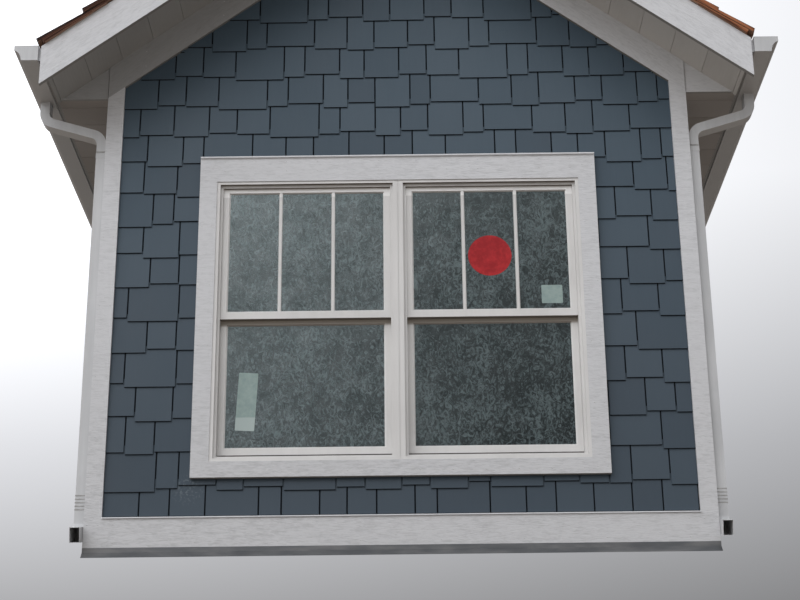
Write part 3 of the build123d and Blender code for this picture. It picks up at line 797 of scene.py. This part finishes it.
# Roof shakes: split cedar in lapped courses, 10 in to the weather, over two shorter starter courses at the eave.
# Each is nailed where the next course covers it, with a gap to its neighbour, and cut along the valley.
PEAK = 3.910  # height of the deck's top at the ridge
SHAKE_EXPOSURE = 0.254
SHAKE_BUTT = 0.044  # height of a butt's face over the deck
SHAKE_THICK = 0.019
SHAKE_LENGTH = 0.580
SHAKE_TAPER = 0.075
SHAKE_END = 2.3225  # from the ridge down the slope to the butts at the eave
SHAKE_WIDTHS = (0.10, 0.27)
SHAKE_GAPS = (0.003, 0.010)
SAWN = -2  # added to the tone of a shake's ends and sides
RAKE_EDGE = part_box("roof_shakes_right")[0].y


def shake(shape, left, right, foot, length, under, top, draws):
    """Adds one split shake that faces -Y: a thin wedge with an uneven face and butt."""
    marks = shape.faces.layers.float.get("tone")
    corners = block(shape, (right - left, 1, length), ((left + right) / 2, 0, foot + length / 2))
    across = [e for e in shape.edges if e.verts[0] in corners and length_along(e, 0) > 0.01]
    bmesh.ops.subdivide_edges(shape, edges=across, cuts=3, use_grid_fill=True)
    made = [v for v in shape.verts if not v.tag]
    skew = draws.uniform(-0.006, 0.006)
    lift = draws.uniform(0.0, 0.004)
    columns = {}
    for v in made:
        uneven = (draws.uniform(-0.0035, 0.0035), draws.uniform(-0.0016, 0.0016))
        down, out = columns.setdefault(round(v.co.x, 5), uneven)
        if v.co.z < foot + length / 2:
            v.co.y = -(top + lift + out) if v.co.y < 0 else -(under + lift * 0.5)
            v.co.z += down + skew * (v.co.x - (left + right) / 2) / (right - left)
        else:
            v.co.y = -max(top - SHAKE_TAPER * length, 0.002) if v.co.y < 0 else 0.0
        v.tag = True
    tone = draws.random()
    for face in faces_of(made):
        face[marks] = tone if abs(face.normal.y) > 0.5 else tone + SAWN


def shake_course(shape, butt, length, under, top, draws):
    """Lays one course from the rake edge back past the valley."""
    left = RAKE_EDGE + draws.uniform(0.001, 0.012)
    back = PEAK - sin(SLOPE) * (butt - length) + 0.12
    while left < back:
        width = draws.uniform(*SHAKE_WIDTHS)
        foot = -butt + draws.uniform(-0.006, 0.008)
        shake(shape, left, left + width, foot, length, under, top, draws)
        left += width + draws.uniform(*SHAKE_GAPS)


def cedar(place):
    """Split faces bleached by the weather, and redder ends and sides, in light on the right and shade on the left."""
    run = down_slope(place)
    tone = place.tone()
    grain = run.clouds((2.5, 110, 60), 5.0, 0.65)
    splits = run.clouds((1.2, 34, 20), 3.0, 0.6)
    weather = run.clouds((5, 5, 5), 4.0, 0.6)
    streaks = grain.step(0.33, 0.67) * 0.5 + splits.step(0.33, 0.67) * 0.2
    bleached = (tone * 0.35 + streaks * 0.6 + weather * 0.3 - 0.1).ramp(
        (0.1, (0.095, 0.048, 0.030)),
        (0.35, (0.235, 0.130, 0.085)),
        (0.6, (0.370, 0.250, 0.190)),
        (0.9, (0.520, 0.410, 0.350)),
    )
    sawn_edge = (tone * 0.45 + 0.58 + streaks * 0.85 + place.axis(0).step(-0.1, 0.1) * 0.48).ramp(
        (0.1, (0.018, 0.008, 0.006)),
        (0.4, (0.090, 0.032, 0.016)),
        (0.7, (0.330, 0.122, 0.054)),
        (1.0, (0.500, 0.250, 0.140)),
    )
    colour = (tone > -0.5).blend(sawn_edge, bleached)
    relief = (grain * 0.8 + splits).relief(0.0028)
    return {"Base Color": colour, "Roughness": grain.step(0.3, 0.7, 0.9, 0.72), "Normal": relief}


cedar_shake = finish("split_cedar", {"Specular IOR Level": 0.2}, cedar)
STARTERS = ((0.030, 0.30, 0.0, 0.011), (0.022, 0.40, 0.014, 0.023))  # set back, length, height of the back and face
STRAY = {"right": -0.034, "left": 0.032}  # of the first courses, as in the photo; it fades up the roof
onto_right = Matrix(
    ((0, -sin(SLOPE), -cos(SLOPE), 0), (1, 0, 0, 0), (0, -cos(SLOPE), sin(SLOPE), PEAK), (0, 0, 0, 1))
)
for name, side in SIDES:
    roof = new_shape()
    draws = random.Random(41 + side)
    for back, length, under, top in STARTERS:
        shake_course(roof, SHAKE_END - back, length, under, top, draws)
    for n in range(9):
        stray = STRAY[name] * max(0.0, 1.25 - n / 4) if n else 0.0
        butt = SHAKE_END - n * SHAKE_EXPOSURE - stray
        shake_course(roof, butt, SHAKE_LENGTH, SHAKE_BUTT - SHAKE_THICK, SHAKE_BUTT, draws)
    bmesh.ops.transform(roof, matrix=onto_right, verts=roof.verts[:])
    cut(roof, (0, 0, 0), (0, 1, -1))
    cut(roof, (0.0005, 0, 0), (-1, 0, 0))
    bmesh.ops.scale(roof, vec=(side, 1, 1), verts=roof.verts[:])
    bmesh.ops.recalc_face_normals(roof, faces=roof.faces[:])
    fit(f"roof_shakes_{name}_split", roof, cedar_shake, "shakes", f"roof_shakes_{name}")

# Ridge caps: pairs of shakes bevelled to meet over the ridge, lapped from the back to the gable.
# Each pair is nailed under the lap of the next.
cap_low, cap_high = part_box("ridge_cap")
CAP_LENGTH = 0.400
CAP_WIDTH = 0.148
CAP_THICK = 0.008
CAP_HEAD = 0.002  # thickness of a cap's thin end
CAP_LIFT = 0.006  # how far a cap's butt rides up on the one before it
TOP_COURSE = 0.0215  # height of the last course's shakes over the deck at the ridge
TOP_COURSE_LEAN = atan2(0.0113, 0.15)
caps = new_shape()
draws = random.Random(57)
lean = Matrix.Translation((0, 0, PEAK + TOP_COURSE / cos(SLOPE))) @ Matrix.Rotation(SLOPE - TOP_COURSE_LEAN, 4, "Y")
for side in (1, -1):
    for n in range(int((cap_high.y - cap_low.y) / SHAKE_EXPOSURE) + 1):
        front = cap_low.y + n * SHAKE_EXPOSURE + 0.001
        middle = Vector((CAP_WIDTH / 2, front + CAP_LENGTH / 2, CAP_THICK / 2))
        board = block(caps, (CAP_WIDTH, CAP_LENGTH, CAP_THICK), middle)
        butt = [v for v in board if v.co.y < middle.y]
        head = [v for v in board if v.co.y > middle.y and v.co.z > middle.z]
        ridge = [v for v in board if v.co.x < middle.x]
        bmesh.ops.translate(caps, verts=butt, vec=(0, 0, CAP_LIFT))
        bmesh.ops.translate(caps, verts=head, vec=(0, 0, CAP_HEAD - CAP_THICK))
        bmesh.ops.transform(caps, matrix=lean, verts=board)
        for v in ridge:
            v.co.z += (v.co.x - CLEAR) * tan(SLOPE)
            v.co.x = CLEAR
        bmesh.ops.scale(caps, vec=(side, 1, 1), verts=board)
        tint(caps, board, draws.random())
cut(caps, (0, 0, 0), (0, 1, -1))
bmesh.ops.recalc_face_normals(caps, faces=caps.faces[:])
fit("ridge_caps_lapped", caps, cedar_shake, "shakes", "ridge_cap")

# Gutters, end caps, downspouts and straps: formed sheet with a baked white enamel.
# The gutters hang on the fascias; the downspouts are strapped to the corner boards.
def white_enamel(place):
    runs = place.clouds((26, 26, 2.2), 4.0, 0.6)
    film = place.clouds((4, 4, 4), 3.0)
    clean = (runs * 0.5 + film * 0.5).step(0.38, 0.72).blend((0.47, 0.475, 0.48), (0.565, 0.57, 0.575))
    # Painted shade: surfaces that look down are darker and warmer.
    colour = (place.underside() * 0.8).blend(clean, (0.30, 0.275, 0.255))
    return {"Base Color": colour, "Roughness": film.step(0.3, 0.7, 0.3, 0.42)}


enamel = finish("white_enamel", {"Specular IOR Level": 0.5}, white_enamel)
dress(enamel, *both("gutter", "gutter_caps", "downspout", "downspout_strap"))

# Crimped beads round each downspout over its shoe and under its elbow, where one length slides into the next.
# Pressed into the same sheet; they are painted darker than the pipe, as the crimps' shade.
def shaded_crimp_enamel(place):
    crimp_mottle = place.clouds((30, 30, 90), 4.0, 0.65)
    # Painted shade: the rings are a darker grey than the enamel.
    colour = crimp_mottle.step(0.35, 0.65).blend((0.27, 0.265, 0.255), (0.42, 0.415, 0.405))
    return {"Base Color": colour, "Roughness": crimp_mottle.step(0.3, 0.7, 0.7, 0.5)}


pipe_low, pipe_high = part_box("downspout_strap_right")
PIPE_X = pipe_high.x - 0.027
PIPE_Y = pipe_high.y - 0.0395
JOINTS = (0.204, 0.222, 0.240, 0.258, 0.276, 2.184, 2.190)  # heights above the base board's foot
CRIMP_X, CRIMP_Y, CRIMP_THICK, CRIMP_HIGH = 0.0536, 0.0790, 0.004, 0.005
crimps = new_shape()
for side in (1, -1):
    for height in JOINTS:
        ring = hoop(crimps, CRIMP_X, CRIMP_Y, CRIMP_THICK, CRIMP_HIGH)
        bmesh.ops.rotate(crimps, verts=ring, cent=(0, 0, 0), matrix=Matrix.Rotation(radians(90), 3, "X"))
        bmesh.ops.translate(crimps, verts=ring, vec=(side * PIPE_X, PIPE_Y, SOLE + height))
fit("downspout_crimps", crimps, finish("shaded_crimp_enamel", {"Specular IOR Level": 0.4}, shaded_crimp_enamel), "rainwater")

# Gutter hangers: bright strips across each gutter from its back to its rolled lip, 600 mm apart.
# Each is screwed through the gutter's back into the fascia; the straps' ears have a screw each as well.
def zinc(place):
    spangle = place.clouds((60, 60, 60), 3.0)
    colour = spangle.step(0.35, 0.65).blend((0.42, 0.43, 0.44), (0.55, 0.56, 0.57))
    return {"Base Color": colour, "Roughness": spangle.step(0.3, 0.7, 0.32, 0.48)}


HANGER_PITCH = 0.600
HANGER_WIDE = 0.026
HANGER_THICK = 0.0016
trough_low, trough_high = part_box("gutter_right")
hangers = new_shape()
screws = new_shape()
for side in (1, -1):
    along = trough_low.y + 0.15
    while along < trough_high.y - 0.1:
        size = (trough_high.x - trough_low.x - 0.006, HANGER_WIDE, HANGER_THICK)
        middle = (side * (trough_low.x + trough_high.x) / 2, along, trough_high.z - 0.0031)
        strip = block(hangers, size, middle)
        ease(hangers, [e for e in edges_of(strip) if length_along(e, 0) > 0.02], 0.0005)
        screw(screws, (side * (trough_low.x + 0.002), along, trough_high.z - 0.012), (side, 0, 0), 0.005, 0.005)
        along += HANGER_PITCH
    ear = (side * (pipe_low.x + 0.0015), pipe_low.y + 0.010, (pipe_low.z + pipe_high.z) / 2)
    screw(screws, ear, (side, 0, 0), 0.004, 0.0025)
metal = finish("zinc_plate", {"Metallic": 0.8}, zinc)
fit("gutter_hangers", hangers, metal, "rainwater")
fit("rainwater_screws", screws, metal, "rainwater")

# Studio floor, and soft light from a pale sky above it.
# The dormer is shown as it hangs on its roof, so the floor lies well below.
FLOOR = -2.7
ground = bmesh.new()
bmesh.ops.create_circle(ground, cap_ends=True, segments=64, radius=60)
bmesh.ops.translate(ground, verts=ground.verts[:], vec=(0, 0, FLOOR))
floor_mesh = bpy.data.meshes.new("floor")
ground.to_mesh(floor_mesh)
ground.free()


def pale_concrete(place):
    return {"Base Color": place.clouds((0.2, 0.2, 0.2)).blend((0.325, 0.30, 0.27), (0.345, 0.32, 0.29))}


floor_mesh.materials.append(finish("pale_floor", {"Roughness": 0.9, "Specular IOR Level": 0.1}, pale_concrete))
floor = bpy.data.objects.new("floor", floor_mesh)
bpy.context.scene.collection.objects.link(floor)

# The sky is brightest half-way up, in front and on the left; a dim patch and a mottle lie where the panes mirror it.
sky = bpy.data.worlds.new("pale_sky")
sky.use_nodes = True
bpy.context.scene.world = sky
backdrop = sky.node_tree.nodes["Background"]
aim = Shade(sky.node_tree, sky.node_tree.nodes.new("ShaderNodeTexCoord").outputs["Generated"])
glow = (aim.axis(2) * 0.5 + 0.5).ramp(
    (0.0, (0.16, 0.14, 0.12)),
    (0.5, (0.20, 0.18, 0.16)),
    (0.585, (0.42, 0.42, 0.43)),
    (0.64, (0.95, 0.96, 1.00)),
    (0.71, (1.80, 1.82, 1.88)),
    (0.85, (1.80, 1.82, 1.88)),
    (0.935, (0.95, 0.96, 1.00)),
    (1.0, (0.45, 0.46, 0.48)),
)
dim_side = aim.distance((0.14, -0.94, 0.33)).step(0.06, 0.27, 0.32, 1.02)
thin_cloud = aim.clouds((60, 60, 60), 7.0, 0.78, 1.8).step(0.40, 0.60, -0.95, 0.95)
low_front = aim.axis(1).step(-0.75, -0.9) * aim.axis(2).step(0.18, 0.26)
sky.node_tree.links.new(glow.socket, backdrop.inputs["Color"])
bright_left = aim.axis(0).step(0.85, -0.85, 0.34, 1.66)
strength = (aim.axis(1) * -0.30 + 0.91) * bright_left * dim_side * (thin_cloud * low_front + 1.0)
sky.node_tree.links.new(strength.socket, backdrop.inputs["Strength"])

# Camera where the photograph was taken from: below the eaves, a little right of the middle.
# Its place and turn come from the dormer's straight edges.
lens = bpy.data.cameras.new("camera")
lens.sensor_width = 36.0
lens.lens = 77.42
lens.clip_end = 200.0
camera = bpy.data.objects.new("camera", lens)
heading, pitch, roll = radians(0.23337), radians(90 + 21.35084), radians(-0.59480)
turn = Matrix.Rotation(heading, 4, "Z") @ Matrix.Rotation(pitch, 4, "X") @ Matrix.Rotation(roll, 4, "Z")
camera.matrix_world = Matrix.Translation((0.0401, -8.4324, -2.0245)) @ turn
bpy.context.scene.collection.objects.link(camera)
bpy.context.scene.camera = camera
bpy.context.scene.view_settings.view_transform = "Standard"
